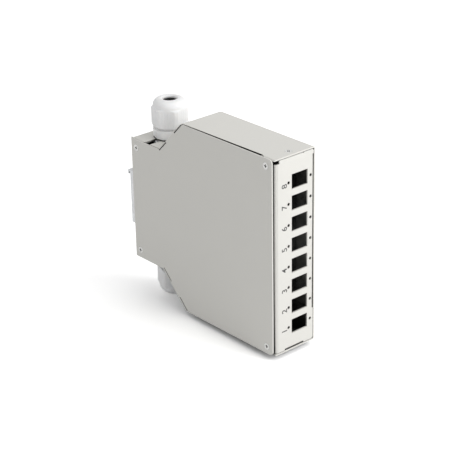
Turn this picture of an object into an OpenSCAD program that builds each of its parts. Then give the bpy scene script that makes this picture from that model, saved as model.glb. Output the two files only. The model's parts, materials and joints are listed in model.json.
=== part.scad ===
// DIN rail fibre box: a folded sheet steel housing with a screwed side cover,
// a front plate for eight adapters, two cable glands and a sprung rail clip.
// The origin lies on the front face of the rail, at the middle of the box's
// width and of the rail's height. The front of the box faces -Y, +Z is up.

/* [Housing] */
// Width of the box along the rail
box_w = 35; // [34:0.5:45]
// Height of the box
box_h = 132; // [131:1:150]
// Depth of the housing from its front edge to its rear wall
box_d = 136; // [130:1:160]
// Thickness of the sheet of the housing
sheet = 1; // [0.8:0.1:1.2]
// Depth of the two shelves at the rear
shelf_d = 28.6; // [28:0.2:32]
// Step from the top wall down to the upper shelf
shelf_drop = 23.3; // [20:0.1:25]
// Run of the slanted walls from front to rear
slant_run = 22.7; // [18:0.1:26]
// Outer radius of the folds
bend_r = 1.5; // [1.2:0.1:2]

/* [Screw flanges] */
// Length of the flanges at the front of the top and bottom walls
front_flange_l = 10.4; // [9:0.1:12]
// Length of the flanges at the rear of the shelves
rear_flange_l = 12; // [10:0.1:12.5]
// How far a flange reaches in under the side cover
flange_reach = 10; // [9:0.1:11]
// Run of the slanted wall's edge before its flange
slant_tab = 7; // [5:0.1:8]
// Run of the flange in the middle of a slanted wall
slant_flange = 8.5; // [7:0.1:9]
// Diameter of the round reliefs where folds and flanges end
relief_d = 1.9; // [1.5:0.1:2.2]

/* [Side cover] */
// Thickness of the side cover
cover_t = 1; // [0.8:0.1:1.2]
// Gap between the side cover's edge and the walls round it
seam = 0.5; // [0.3:0.05:0.8]
// Radius of the side cover's front corners
cover_corner_r = 3; // [2:0.1:4]
// Cover screws at the front: distance behind the front edge
front_screw_in = 6.5; // [6:0.1:7]
// Cover screws at the front: distance from the top or bottom
front_screw_down = 5.1; // [5:0.1:6]
// Cover screws at the rear: distance before the rear wall
rear_screw_in = 4.9; // [4.7:0.1:6]
// Cover screws at the rear: distance from the shelf
rear_screw_down = 5.7; // [5:0.1:6]
// Thread diameter of the cover screws
cover_screw_d = 2.5; // [2:0.1:2.6]
// Head diameter of the cover screws
cover_head_d = 4.7; // [4.4:0.1:4.9]
// Length of the cover screws
cover_screw_l = 5; // [4.5:0.1:8]

/* [Front plate] */
// Thickness of the front plate
plate_t = 1; // [0.8:0.1:1.2]
// Gap between the front plate and the walls round it
plate_gap = 0.3; // [0.2:0.05:0.5]
// Gap between the side cover and the front plate
cover_gap = 1.1; // [0.8:0.1:1.5]
// Number of adapter openings
ports = 8; // [2:1:8]
// Distance between the openings
port_pitch = 14; // [12.5:0.1:14.5]
// Width of an adapter opening
port_w = 13.2; // [12.8:0.1:13.6]
// Height of an adapter opening
port_h = 9.6; // [9.2:0.1:10]
// Height of the lowest opening's centre above the bottom
first_port = 16.25; // [15.5:0.05:17]
// Distance of the openings' middle from the right side
port_side = 13; // [12.7:0.1:13.5]
// Distance between the two screw holes of an adapter
port_hole_gap = 18.4; // [17.8:0.1:18.6]
// Diameter of an adapter's screw holes
port_hole_d = 2; // [1.8:0.1:2.4]
// Depth of the front plate's side flange
side_flange_d = 14; // [10:0.5:18]
// Depth of the front plate's top and bottom flanges
end_flange_d = 9; // [8:0.5:10]
// Width of the front plate's top and bottom flanges
end_flange_w = 16; // [12:0.5:18]
// Front plate screws: distance behind the front edge
plate_screw_in = 5; // [4.5:0.1:6]
// Radius of the front plate's right corners
plate_corner_r = 1.5; // [1:0.1:2]
// Corner relief of the front plate: width and height
corner_relief = [3.2, 2.2]; // [1:0.1:4]

/* [Glands] */
// Distance of the glands' axis from the right side
gland_side = 14; // [13.8:0.1:14.5]
// Distance of the glands' axis before the rear wall
gland_in = 15.5; // [15.2:0.1:16]
// Diameter of the gland's thread
gland_thread_d = 18.6; // [18:0.1:18.8]
// Diameter of the hole for the gland over its thread
gland_hole_d = 18.9; // [18.9:0.1:19.4]
// Width of the slot through which a cable is laid in
cable_slot_w = 5.5; // [5:0.1:7]
// Width across the flats of the gland's hexagons
gland_af = 22; // [21.5:0.1:22.2]
// Diameter to which the dome nut's corners are rounded
nut_round_d = 24; // [23.5:0.1:24.4]
// Diameter to which the body's corners are rounded
collar_round_d = 23; // [22.6:0.1:24]
// Height of the hexagon on the gland's body
collar_h = 5.8; // [5:0.1:7]
// Thickness of the flat gasket under the body
gasket_t = 1; // [0.8:0.1:1.5]
// Open gap between the body and the dome nut
nut_gap = 1.7; // [1.6:0.1:3]
// Height of the dome nut's hexagon
nut_hex_h = 11.8; // [11:0.1:13]
// Height of the whole dome nut
nut_h = 18.2; // [17.8:0.1:20]
// Diameter of the dome nut's upper part
dome_d = 21; // [20.6:0.1:21.4]
// Radius of the dome nut's upper edge
dome_r = 4.4; // [4:0.1:4.6]
// Diameter of the hole in the dome nut
nut_mouth_d = 10.4; // [10:0.1:11]
// Bore of the rubber seal
seal_bore_d = 8.6; // [7:0.1:9]
// Outer diameter of the rubber seal
seal_d = 14; // [13.6:0.1:14.2]
// Length of the thread under the gland's hexagon
gland_thread_l = 10; // [9:0.1:12]
// Bore of the gland's body
gland_bore_d = 12.6; // [11:0.1:13]
// Height of the lock nut
lock_h = 4; // [3.5:0.1:5]
// Number of clamping fingers of the body
fingers = 10; // [6:1:12]
// How far the glands' hexagons are turned
gland_turn = 11; // [0:1:60]
// How far the dome nut can be tightened
nut_tighten = 1.5; // [0.5:0.1:1.5]

/* [Rail clip] */
// Height of the rail
rail_h = 35; // [35:0.5:36]
// Thickness of the rail's lips
rail_lip = 1; // [1:0.1:1.3]
// Distance from the rear wall to the rail
clip_t = 3; // [2.9:0.1:4]
// How far the rail bracket's ends stand back from the box's sides
bracket_side = 0.2; // [0.1:0.05:0.5]
// How far the bracket reaches below the rail's lower edge
bracket_below = 1.2; // [0.8:0.1:2]
// Thickness of the hooks behind the rail's lips
hook_t = 1; // [0.8:0.1:1.5]
// How far the hooks reach over the lips
hook_reach = 1.6; // [1.2:0.1:2.2]
// Distance from the bracket's ends to the latch
latch_side = 8.3; // [8.3:0.1:9.5]
// Thickness of the bracket's web over the latch
web_t = 0.7; // [0.6:0.1:0.9]
// How far the latch moves down
latch_travel = 4; // [3:0.1:4.5]
// How far the latch's tail reaches below the bracket
tail_l = 13; // [11:0.5:15]
// Outer diameter of the spring
spring_d = 2; // [1.8:0.05:2.1]
// Wire of the spring
spring_wire = 0.36; // [0.3:0.02:0.4]
// Turns of the spring
spring_turns = 9; // [6:1:10]
// Room for the spring between its peg and the latch
spring_l = 12.5; // [11:0.1:13]
// Thread diameter of the bracket screws
bracket_screw_d = 3; // [2.6:0.1:3.2]
// Head diameter of the bracket screws
bracket_head_d = 5.5; // [5:0.1:5.8]
// Distance of the bracket screws from the bracket's ends
bracket_screw_in = 4.1; // [3.9:0.1:4.7]

/* [Inside] */
// Grooves of the splice holder
grooves = 8; // [4:1:8]
// Distance between the grooves
groove_pitch = 4.4; // [4:0.1:4.6]
// Length of the splice holder
holder_l = 44; // [40:1:50]
// Height of the splice holder's fingers
holder_rib_h = 6; // [4:0.5:7]
// Thickness of the adhesive pads
pad_t = 1; // [0.8:0.1:1.2]
// Width of a cable tie mount
tie_mount_w = 19; // [17:0.5:20]
// Width of a fibre clip
fibre_clip_w = 12; // [10:0.5:14]

/* [Hidden] */
$fn = 48;

// Clearances between pieces that slide or turn, and between fixed ones
slide_gap = 0.1;
seat_gap = 0.05;
// How far a cutter runs past the face it cuts
past = 1;

// Screws: straight rim of the head, chamfer of the tip, width of the recess
head_rim = 0.15;
tip_chamfer = 0.4;
recess_share = 0.5;

// Lines of the housing in the Y-Z plane
rear_y = -clip_t;
front_y = rear_y - box_d;
shelf_y = rear_y - shelf_d;
slant_y = shelf_y - slant_run;
top_z = box_h / 2;
shelf_z = top_z - shelf_drop;
left_x = -box_w / 2;
right_x = box_w / 2;
outline = [[front_y, -top_z], [slant_y, -top_z], [shelf_y, -shelf_z], [rear_y, -shelf_z],
    [rear_y, shelf_z], [shelf_y, shelf_z], [slant_y, top_z], [front_y, top_z]];

// The walls, as edges of the outline
bottom_wall = 0;
low_slant = 1;
low_shelf = 2;
rear_wall = 3;
high_shelf = 4;
high_slant = 5;
top_wall = 6;

// Geometry of a wall: its length, direction, inward normal and tilt
function wall_start(w) = outline[w];
function wall_end(w) = outline[(w + 1) % len(outline)];
function wall_l(w) = norm(wall_end(w) - wall_start(w));
function wall_dir(w) = (wall_end(w) - wall_start(w)) / wall_l(w);
function inward(v) = [-v[1], v[0]];
function wall_tilt(w) = atan2(wall_dir(w)[1], wall_dir(w)[0]);
function on_wall(w, along, deep) = wall_start(w) + along * wall_dir(w) + deep * inward(wall_dir(w));

// The outline moved inwards by a distance
function inset(points, by) = [for (i = [0:len(points) - 1])
    let (n = len(points),
        before = (points[i] - points[(i + n - 1) % n]) / norm(points[i] - points[(i + n - 1) % n]),
        after = (points[(i + 1) % n] - points[i]) / norm(points[(i + 1) % n] - points[i]))
    points[i] + by * (inward(before) + inward(after)) / (1 + before * after)];

// Stretches where a flange carries the cover and the cover reaches out over
// the wall's edge: wall, start, end
slope = wall_l(low_slant) / slant_run;
flange_zones = [
    [bottom_wall, 0, front_flange_l],
    [low_slant, slant_tab * slope, (slant_tab + slant_flange) * slope],
    [low_shelf, shelf_d - rear_flange_l, shelf_d],
    [high_shelf, 0, rear_flange_l],
    [high_slant, (slant_run - slant_tab - slant_flange) * slope, (slant_run - slant_tab) * slope],
    [top_wall, wall_l(top_wall) - front_flange_l, wall_l(top_wall)]];
// A flange stops short of its zone's ends, and further short of a corner of
// the box, while its fold runs past that corner
corner_slit = sheet + 0.6;
flange_slit = 0.2;
function at_start(zone) = zone[1] == 0;
function at_end(zone) = zone[2] == wall_l(zone[0]);
function flange_from(zone) = zone[1] + (at_start(zone) ? corner_slit : flange_slit);
function flange_to(zone) = zone[2] - (at_end(zone) ? corner_slit : flange_slit);
function fold_from(zone) = at_start(zone) ? -past : flange_from(zone);
function fold_to(zone) = at_end(zone) ? zone[2] + past : flange_to(zone);

// Planes across the width
flange_x = left_x + cover_t;
plate_left = left_x + cover_t + cover_gap;
plate_right = right_x - sheet - plate_gap;
plate_top = top_z - sheet - plate_gap;
port_x = right_x - port_side;
gland_x = right_x - gland_side;

// Places of the screws
cover_screw_places = [
    [front_y + front_screw_in, top_z - front_screw_down],
    [front_y + front_screw_in, front_screw_down - top_z],
    [rear_y - rear_screw_in, shelf_z - rear_screw_down],
    [rear_y - rear_screw_in, rear_screw_down - shelf_z]];
clinch_d = 5.6;
clinch_h = 1.8;
plate_screw_x = 0;
plate_screw_y = front_y + plate_screw_in;

// Places of the adapter openings
port_z = [for (i = [0:ports - 1]) first_port - top_z + i * port_pitch];

// Heights of the upper gland, from the shelf outwards
gland_y = rear_y - gland_in;
collar_z = shelf_z + gasket_t;
collar_top = collar_z + collar_h;
nut_z = collar_top + nut_gap;

// Rail clip
bracket_w = box_w - 2 * bracket_side;
bracket_screw_x = bracket_w / 2 - bracket_screw_in;
latch_w = bracket_w - 2 * latch_side;
lip_z = rail_h / 2;
hook_gap = 0.3;
hook_y = rail_lip + hook_gap;
bracket_low = -lip_z - bracket_below;
channel_w = latch_w + 2 * slide_gap;
latch_front = rear_y + slide_gap;
latch_back = -web_t - slide_gap;
latch_top = 8;
peg_top = -latch_travel - 5;
peg_h = 1.4;
spring_room = 0.3;
window_w = spring_d + 2 * spring_room;
spring_mid = (latch_front + latch_back) / 2;
// Rounding of the latch's tail, and its slot for a screwdriver
tail_r = 3;
tool_slot = [7, 2.2];

// Inside, on the right wall
inner_x = right_x - sheet;
pad_x = inner_x - pad_t;
holder_w = (grooves + 1) * groove_pitch;
// How far the holder reaches past the slanted walls' front corner
holder_past = 6;
holder_y = slant_y - holder_w / 2 + holder_past;
holder_base_t = 1.6;
// The rims round the opening in the holder's base and in its pad
holder_rims = [5, 14];
holder_opening = [holder_w - 2 * holder_rims[0], holder_l - 2 * holder_rims[1]];
// Fibre clips: distance behind the front edge, before the slanted walls'
// front corner and from the top or bottom
clip_in = 34;
clip_before = 12;
clip_down = 16;
clip_places = [for (side = [1, -1], y = [front_y + clip_in, slant_y - clip_before])
    [y, side * (top_z - clip_down)]];
// Distance of the cable tie mounts from the shelves
tie_down = 28;
tie_z = shelf_z - tie_down;

// Extrudes a shape of the Y-Z plane along X
module along_x(from, to) {
    translate([from, 0, 0])
        rotate([90, 0, 90])
            linear_extrude(to - from)
                children();
}

// A band along a wall, in the Y-Z plane
module band(w, from, to, out, in) {
    polygon([on_wall(w, from, out), on_wall(w, to, out), on_wall(w, to, in), on_wall(w, from, in)]);
}

// What a rounding takes off a corner at the origin that points to +X and +Y
module corner_cut(r) {
    difference() {
        translate([-r, -r])
            square(r + past);
        translate([-r, -r])
            circle(r);
    }
}

// Puts its children on a wall: X stays, Y runs along the wall, Z points in
module at_wall(w) {
    translate([0, wall_start(w)[0], wall_start(w)[1]])
        rotate([wall_tilt(w), 0, 0])
            children();
}

// What a fold takes off a wall's edge at x, with the sheet towards side
module fold_cut(w, from, to, x, side) {
    at_wall(w)
        translate([x, to, 0])
            rotate([90, 0, 0])
                linear_extrude(to - from)
                    mirror([side > 0 ? 1 : 0, 0])
                        mirror([0, 1])
                            corner_cut(bend_r);
}

// A countersunk screw with its head's face at z = 0 and its shank down
module countersunk_screw(d, head, length) {
    cone = (head - d) / 2;
    difference() {
        rotate_extrude()
            polygon([[0, 0], [head / 2, 0], [head / 2, -head_rim], [d / 2, -head_rim - cone],
                [d / 2, tip_chamfer - length], [d / 2 - tip_chamfer, -length], [0, -length]]);
        cross_recess(recess_share * head);
    }
}

module cross_recess(size) {
    for (turn = [0, 90])
        rotate(turn)
            translate([-size / 2, -size / 8, -size / 3])
                cube([size, size / 4, size / 3 + past]);
}

// The hole of a countersunk screw, from its face down
module countersunk_hole(d, head, depth) {
    cone = (head - d) / 2;
    rotate_extrude()
        polygon([[0, past], [head / 2 + seat_gap, past], [head / 2 + seat_gap, -head_rim],
            [d / 2 + seat_gap, -head_rim - cone], [d / 2 + seat_gap, -depth], [0, -depth]]);
}

// A round self-clinching nut on the z = 0 face, hanging down
module clinch_nut(d) {
    difference() {
        translate([0, 0, -clinch_h])
            cylinder(d = clinch_d, h = clinch_h);
        translate([0, 0, -clinch_h - past])
            cylinder(d = d + 2 * seat_gap, h = clinch_h + 2 * past);
    }
}

// Turns a piece with its axis on Z so that its upper end faces -X or +Y
module facing_left(place) {
    translate([left_x, place[0], place[1]])
        rotate([0, -90, 0])
            children();
}

module facing_rail(x) {
    translate([x, 0, 0])
        rotate([-90, 0, 0])
            children();
}

module walls_2d() {
    inner = inset(outline, sheet);
    last = len(inner) - 1;
    difference() {
        polygon(outline);
        polygon([for (i = [0:last]) i == 0 || i == last ? [front_y - past, inner[i][1]] : inner[i]]);
    }
}

module flanges() {
    for (zone = flange_zones) {
        along_x(flange_x, flange_x + sheet)
            intersection() {
                band(zone[0], flange_from(zone), flange_to(zone), 0, flange_reach);
                polygon(outline);
            }
    }
}

module housing_shell() {
    color("lightgray")
        difference() {
            union() {
                along_x(left_x, right_x)
                    walls_2d();
                along_x(right_x - sheet, right_x)
                    polygon(outline);
                flanges();
            }
            // the cover's seat over the flanges and over the rear wall's edge
            for (zone = flange_zones) {
                along_x(left_x - past, flange_x)
                    band(zone[0], zone[1] - (at_start(zone) ? past : 0),
                        zone[2] + (at_end(zone) ? past : 0), -past, sheet + past);
                fold_cut(zone[0], fold_from(zone), fold_to(zone), flange_x, 1);
            }
            along_x(left_x - past, flange_x)
                band(rear_wall, -past, wall_l(rear_wall) + past, -past, sheet + past);
            // the folds between the right side and the walls, and the reliefs
            // at the corners where they end
            for (w = [bottom_wall:top_wall])
                fold_cut(w, w == bottom_wall ? -past : relief_d / 3,
                    wall_l(w) + (w == top_wall ? past : -relief_d / 3), right_x, -1);
            for (w = [low_slant:top_wall])
                along_x(right_x - bend_r - flange_slit, right_x + past)
                    translate(wall_start(w))
                        circle(relief_d / 2);
            // the reliefs at the ends of the front flanges
            for (side = [-1, 1])
                translate([flange_x, front_y + front_flange_l, side * (top_z - sheet / 2)])
                    cylinder(d = relief_d, h = sheet + past, center = true);
            // the holes and cable slots of the glands
            for (side = [-1, 1]) {
                translate([gland_x, gland_y, side * (shelf_z - sheet / 2)])
                    cylinder(d = gland_hole_d, h = sheet + past, center = true);
                translate([left_x - past, gland_y - cable_slot_w / 2, side * (shelf_z - sheet / 2) - sheet])
                    cube([gland_x - left_x + past, cable_slot_w, 2 * sheet]);
            }
            // the holes for the cover screws, plate screws and bracket screws
            for (place = cover_screw_places)
                facing_left(place)
                    countersunk_hole(cover_screw_d, cover_head_d, cover_t + sheet + past);
            for (side = [-1, 1])
                translate([plate_screw_x, plate_screw_y, side * top_z])
                    mirror([0, 0, side < 0 ? 1 : 0])
                        countersunk_hole(cover_screw_d, cover_head_d, sheet + past);
            for (side = [-1, 1])
                translate([side * bracket_screw_x, rear_y - sheet / 2, 0])
                    rotate([90, 0, 0])
                        cylinder(d = bracket_screw_d + 2 * seat_gap, h = sheet + past, center = true);
        }
}

// The side cover lies between the walls' edges and reaches out over the
// flanges and the rear wall's edge
module cover_2d() {
    inner = inset(outline, sheet + seam);
    last = len(inner) - 1;
    intersection() {
        union() {
            polygon([for (i = [0:last]) i == 0 || i == last ? [front_y, inner[i][1]]
                : i == rear_wall || i == rear_wall + 1 ? [rear_y, inner[i][1]] : inner[i]]);
            for (zone = flange_zones)
                intersection() {
                    polygon(outline);
                    band(zone[0], zone[1] + (at_start(zone) ? 0 : seam),
                        zone[2] - (at_end(zone) ? 0 : seam), 0, sheet + 2 * seam + past);
                }
        }
        // rounded corners at the front
        union() {
            translate([front_y + cover_corner_r, -top_z])
                square([box_d, box_h]);
            translate([front_y, -top_z + cover_corner_r])
                square([box_d, box_h - 2 * cover_corner_r]);
            for (side = [-1, 1])
                translate([front_y + cover_corner_r, side * (top_z - cover_corner_r)])
                    circle(cover_corner_r);
        }
    }
}

module side_cover() {
    color("silver")
        difference() {
            along_x(left_x, left_x + cover_t)
                cover_2d();
            for (place = cover_screw_places)
                facing_left(place)
                    countersunk_hole(cover_screw_d, cover_head_d, cover_t + past);
        }
}

module cover_screws() {
    color("gainsboro")
        for (place = cover_screw_places)
            facing_left(place)
                countersunk_screw(cover_screw_d, cover_head_d, cover_screw_l);
}

module cover_nuts() {
    color("silver")
        for (place = cover_screw_places)
            facing_left(place)
                translate([0, 0, -cover_t - sheet])
                    clinch_nut(cover_screw_d);
}

module front_plate() {
    plate_h = 2 * plate_top;
    // the side flange ends above the lowest opening
    flange_low = port_z[0] + port_h / 2 + 2;
    flange_high = plate_top - 2 * plate_corner_r;
    color("whitesmoke")
        difference() {
            union() {
                translate([plate_left, front_y, -plate_top])
                    cube([plate_right - plate_left, plate_t, plate_h]);
                translate([plate_right - plate_t, front_y, flange_low])
                    cube([plate_t, side_flange_d, flange_high - flange_low]);
                for (side = [-1, 1])
                    translate([plate_screw_x - end_flange_w / 2, front_y,
                            side > 0 ? plate_top - plate_t : -plate_top])
                        cube([end_flange_w, end_flange_d, plate_t]);
            }
            for (z = port_z) {
                translate([port_x - port_w / 2, front_y - past, z - port_h / 2])
                    cube([port_w, plate_t + 2 * past, port_h]);
                for (side = [-1, 1])
                    translate([port_x + side * port_hole_gap / 2, front_y + plate_t / 2, z])
                        rotate([90, 0, 0])
                            cylinder(d = port_hole_d, h = plate_t + past, center = true);
            }
            // corner reliefs on the left, round corners on the right
            for (side = [-1, 1])
                mirror([0, 0, side < 0 ? 1 : 0]) {
                    translate([plate_left - past, front_y - past, plate_top - corner_relief[1]])
                        cube([corner_relief[0] + past, plate_t + 2 * past, corner_relief[1] + past]);
                    translate([plate_right, front_y + plate_t + past, plate_top])
                        rotate([90, 0, 0])
                            linear_extrude(plate_t + 2 * past)
                                corner_cut(plate_corner_r);
                    // the fold of the end flange
                    translate([plate_screw_x - end_flange_w / 2, front_y, plate_top])
                        rotate([90, 0, 90])
                            linear_extrude(end_flange_w)
                                mirror([1, 0])
                                    corner_cut(bend_r);
                    translate([plate_screw_x, plate_screw_y, top_z])
                        countersunk_hole(cover_screw_d, cover_head_d, sheet + plate_gap + plate_t + past);
                }
            // the fold of the side flange
            translate([plate_right, front_y, flange_low])
                linear_extrude(flange_high - flange_low)
                    mirror([0, 1])
                        corner_cut(bend_r);
        }
}

// Pieces that lie alike at the top and the bottom
module both_ends() {
    children();
    mirror([0, 0, 1])
        children();
}

module front_plate_screws() {
    color("gainsboro")
        both_ends()
            translate([plate_screw_x, plate_screw_y, top_z])
                countersunk_screw(cover_screw_d, cover_head_d, cover_screw_l);
}

module front_plate_nuts() {
    color("silver")
        both_ends()
            translate([plate_screw_x, plate_screw_y, plate_top - plate_t])
                clinch_nut(cover_screw_d);
}

// A hexagon whose corners are rounded to a diameter
module rounded_hex(flats, round_d, h) {
    intersection() {
        rotate(gland_turn)
            cylinder(d = flats / cos(30), h = h, $fn = 6);
        cylinder(d = round_d, h = h);
    }
}

module on_gland() {
    translate([gland_x, gland_y, 0])
        children();
}

// Heights inside the dome nut, from its lower face
seal_low = 2.6;
thread_top = 8;
slit_low = 8.2;
finger_top = 11.4;
nut_bore_top = 10.8;
nut_roof = 1.9;
// Thickness of the body's fingers and width of the slits between them
finger_t = 0.9;
slit_w = 0.8;
// Length of the seal and chamfer of its bore
seal_l = nut_h - nut_roof - seal_low - 2 * seat_gap;
seal_chamfer = 0.8;

module gland_body() {
    color("gainsboro")
        on_gland()
            difference() {
                union() {
                    translate([0, 0, collar_z])
                        rounded_hex(gland_af, collar_round_d, collar_h);
                    // the thread under the collar and the thread for the nut
                    translate([0, 0, shelf_z - sheet - gland_thread_l])
                        cylinder(d = gland_thread_d,
                            h = nut_z + thread_top - shelf_z + sheet + gland_thread_l);
                    translate([0, 0, nut_z])
                        cylinder(d = seal_d + 2 * (seat_gap + finger_t), h = finger_top);
                }
                translate([0, 0, shelf_z - sheet - gland_thread_l - past])
                    cylinder(d = gland_bore_d, h = box_h);
                // room for the seal to be pressed down
                translate([0, 0, nut_z + seal_low - nut_tighten - seat_gap])
                    cylinder(d = seal_d + 2 * seat_gap, h = box_h);
                // the slits between the fingers
                for (i = [0:fingers - 1])
                    rotate(i * 360 / fingers)
                        translate([seal_d / 2 - past, -slit_w / 2, nut_z + slit_low])
                            cube([box_w, slit_w, box_h]);
            }
}

module gland_gasket() {
    color("dimgray")
        on_gland()
            translate([0, 0, shelf_z])
                difference() {
                    cylinder(d = gland_af, h = gasket_t);
                    translate([0, 0, -past])
                        cylinder(d = gland_thread_d + 2 * seat_gap, h = gasket_t + 2 * past);
                }
}

module gland_locknut() {
    color("gainsboro")
        on_gland()
            translate([0, 0, shelf_z - sheet - lock_h])
                difference() {
                    intersection() {
                        cylinder(d = gland_af / cos(30), h = lock_h, $fn = 6);
                        cylinder(r1 = gland_af / 2 + 0.5, r2 = gland_af / 2 + 0.5 + lock_h, h = lock_h);
                    }
                    translate([0, 0, -past])
                        cylinder(d = gland_thread_d + 2 * seat_gap, h = lock_h + 2 * past);
                }
}

module gland_seal() {
    color("darkslategray")
        on_gland()
            translate([0, 0, nut_z + seal_low + seat_gap])
                rotate_extrude()
                    polygon([[seal_bore_d / 2, seal_chamfer], [seal_bore_d / 2 + seal_chamfer, 0],
                        [seal_d / 2, 0], [seal_d / 2, seal_l], [seal_bore_d / 2, seal_l]]);
}

module gland_nut() {
    chamfer = 0.7;
    shoulder = (nut_round_d - dome_d) / 2;
    inner_d = gland_thread_d + 2 * seat_gap;
    seat_d = seal_d + 2 * seat_gap;
    mouth_chamfer = 1;
    // grip grooves in each flat: their number, distance, radius and depth
    grip = 5;
    grip_pitch = 1.9;
    grip_r = 0.65;
    grip_deep = 0.3;
    // how far cutters overlap where they meet, and solids where they join
    meet = 0.01;
    tuck = 0.1;
    color("gainsboro")
        on_gland()
            translate([0, 0, nut_z])
                difference() {
                    union() {
                        intersection() {
                            rotate(gland_turn)
                                cylinder(d = gland_af / cos(30), h = nut_hex_h + 2 * shoulder, $fn = 6);
                            rotate_extrude()
                                polygon([[0, 0], [nut_round_d / 2 - chamfer, 0], [nut_round_d / 2, chamfer],
                                    [nut_round_d / 2, nut_hex_h], [dome_d / 2 - tuck, nut_hex_h + shoulder],
                                    [0, nut_hex_h + shoulder]]);
                        }
                        cylinder(d = dome_d, h = nut_h - dome_r);
                        translate([0, 0, nut_h - dome_r])
                            rotate_extrude()
                                intersection() {
                                    translate([dome_d / 2 - dome_r, 0])
                                        circle(dome_r);
                                    square(dome_d);
                                }
                        cylinder(d = dome_d - 2 * dome_r, h = nut_h);
                    }
                    // the thread, the cone over the fingers and the mouth
                    translate([0, 0, -past])
                        cylinder(d = inner_d, h = nut_bore_top + past);
                    translate([0, 0, nut_bore_top - meet])
                        cylinder(d1 = inner_d, d2 = seat_d, h = nut_h - nut_roof - nut_bore_top);
                    cylinder(d = seat_d, h = nut_h - nut_roof);
                    cylinder(d = nut_mouth_d, h = nut_h + past);
                    translate([0, 0, nut_h - mouth_chamfer])
                        cylinder(d1 = nut_mouth_d, d2 = nut_mouth_d + 2 * (mouth_chamfer + meet),
                            h = mouth_chamfer + meet);
                    for (face = [0:5], i = [0:grip - 1])
                        rotate(gland_turn + 30 + face * 60)
                            translate([gland_af / 2 + grip_r - grip_deep,
                                    (i - (grip - 1) / 2) * grip_pitch, -past])
                                cylinder(r = grip_r, h = nut_hex_h, $fn = 16);
                }
}

module top_gland_body() gland_body();
module top_gland_gasket() gland_gasket();
module top_gland_locknut() gland_locknut();
module top_gland_seal() gland_seal();
module top_gland_nut() gland_nut();
module bottom_gland_body() mirror([0, 0, 1]) gland_body();
module bottom_gland_gasket() mirror([0, 0, 1]) gland_gasket();
module bottom_gland_locknut() mirror([0, 0, 1]) gland_locknut();
module bottom_gland_seal() mirror([0, 0, 1]) gland_seal();
module bottom_gland_nut() mirror([0, 0, 1]) gland_nut();

// The bracket on the rear wall, with a fixed hook over the rail's upper lip
// and a channel in which the latch slides
module rail_bracket() {
    color("silver")
        difference() {
            along_x(-bracket_w / 2, bracket_w / 2)
                polygon([[rear_y, bracket_low], [0, bracket_low], [0, lip_z + hook_gap],
                    [hook_y, lip_z + hook_gap], [hook_y, lip_z - hook_reach],
                    [hook_y + hook_t, lip_z - hook_reach + hook_t / 2],
                    [hook_y + hook_t, lip_z + hook_gap + hook_t], [rear_y, lip_z + hook_gap + hook_t]]);
            // the latch's channel, with the spring's peg left in it
            difference() {
                translate([-channel_w / 2, rear_y - past, bracket_low - past])
                    cube([channel_w, clip_t - web_t + past, latch_top + slide_gap - bracket_low + past]);
                translate([-spring_d / 2, latch_front, peg_top - peg_h])
                    cube([spring_d, clip_t, peg_h]);
            }
            // the web ends above the latch's foot
            translate([-channel_w / 2, rear_y - past, bracket_low - past])
                cube([channel_w, clip_t + 2 * past, bracket_below + 0.5 + past]);
            for (side = [-1, 1])
                facing_rail(side * bracket_screw_x)
                    countersunk_hole(bracket_screw_d, bracket_head_d, clip_t + past);
        }
}

module rail_latch() {
    foot_z = -lip_z - hook_gap;
    foot_h = 1.5;
    tail_z = bracket_low - tail_l;
    color("silver")
        difference() {
            union() {
                translate([-latch_w / 2, latch_front, tail_z])
                    cube([latch_w, latch_back - latch_front, latch_top - tail_z]);
                along_x(-latch_w / 2, latch_w / 2)
                    polygon([[latch_front, foot_z - foot_h], [hook_y + hook_t, foot_z - foot_h],
                        [hook_y + hook_t, foot_z], [hook_y, foot_z + hook_gap + hook_reach],
                        [hook_y, foot_z], [latch_front, foot_z]]);
            }
            // the spring's window and the screwdriver slot
            translate([-window_w / 2, latch_front - past, peg_top - peg_h - slide_gap])
                cube([window_w, clip_t + past, spring_l + peg_h + slide_gap]);
            translate([-tool_slot[0] / 2, latch_front - past, tail_z + tail_r])
                cube([tool_slot[0], clip_t + past, tool_slot[1]]);
            for (side = [0, 1])
                mirror([side, 0, 0])
                    translate([latch_w / 2, 0, tail_z])
                        rotate([90, 0, 0])
                            linear_extrude(box_w, center = true)
                                mirror([0, 1])
                                    corner_cut(tail_r);
        }
}

// A wire swept round a helix, as rings of points joined by quads
module latch_spring() {
    steps = 16;
    sides = 6;
    count = spring_turns * steps;
    mean = (spring_d - spring_wire) / 2;
    low = peg_top + seat_gap + spring_wire / 2;
    rise = spring_l - 2 * seat_gap - spring_wire;
    points = [for (i = [0:count], j = [0:sides - 1])
        let (turn = i * 360 / steps, side = j * 360 / sides,
            r = mean + spring_wire / 2 * cos(side))
        [r * cos(turn), spring_mid + r * sin(turn),
            low + rise * i / count + spring_wire / 2 * sin(side)]];
    skin = [for (i = [0:count - 1], j = [0:sides - 1])
        [i * sides + j, i * sides + (j + 1) % sides,
            (i + 1) * sides + (j + 1) % sides, (i + 1) * sides + j]];
    color("darkgray")
        polyhedron(points, concat(skin, [[for (j = [0:sides - 1]) sides - 1 - j]],
            [[for (j = [0:sides - 1]) count * sides + j]]));
}

module bracket_screws() {
    color("gainsboro")
        for (side = [-1, 1])
            facing_rail(side * bracket_screw_x)
                countersunk_screw(bracket_screw_d, bracket_head_d, clip_t + sheet + clinch_h + tip_chamfer);
}

module bracket_nuts() {
    color("silver")
        for (side = [-1, 1])
            facing_rail(side * bracket_screw_x)
                translate([0, 0, -clip_t - sheet])
                    clinch_nut(bracket_screw_d);
}

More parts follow.
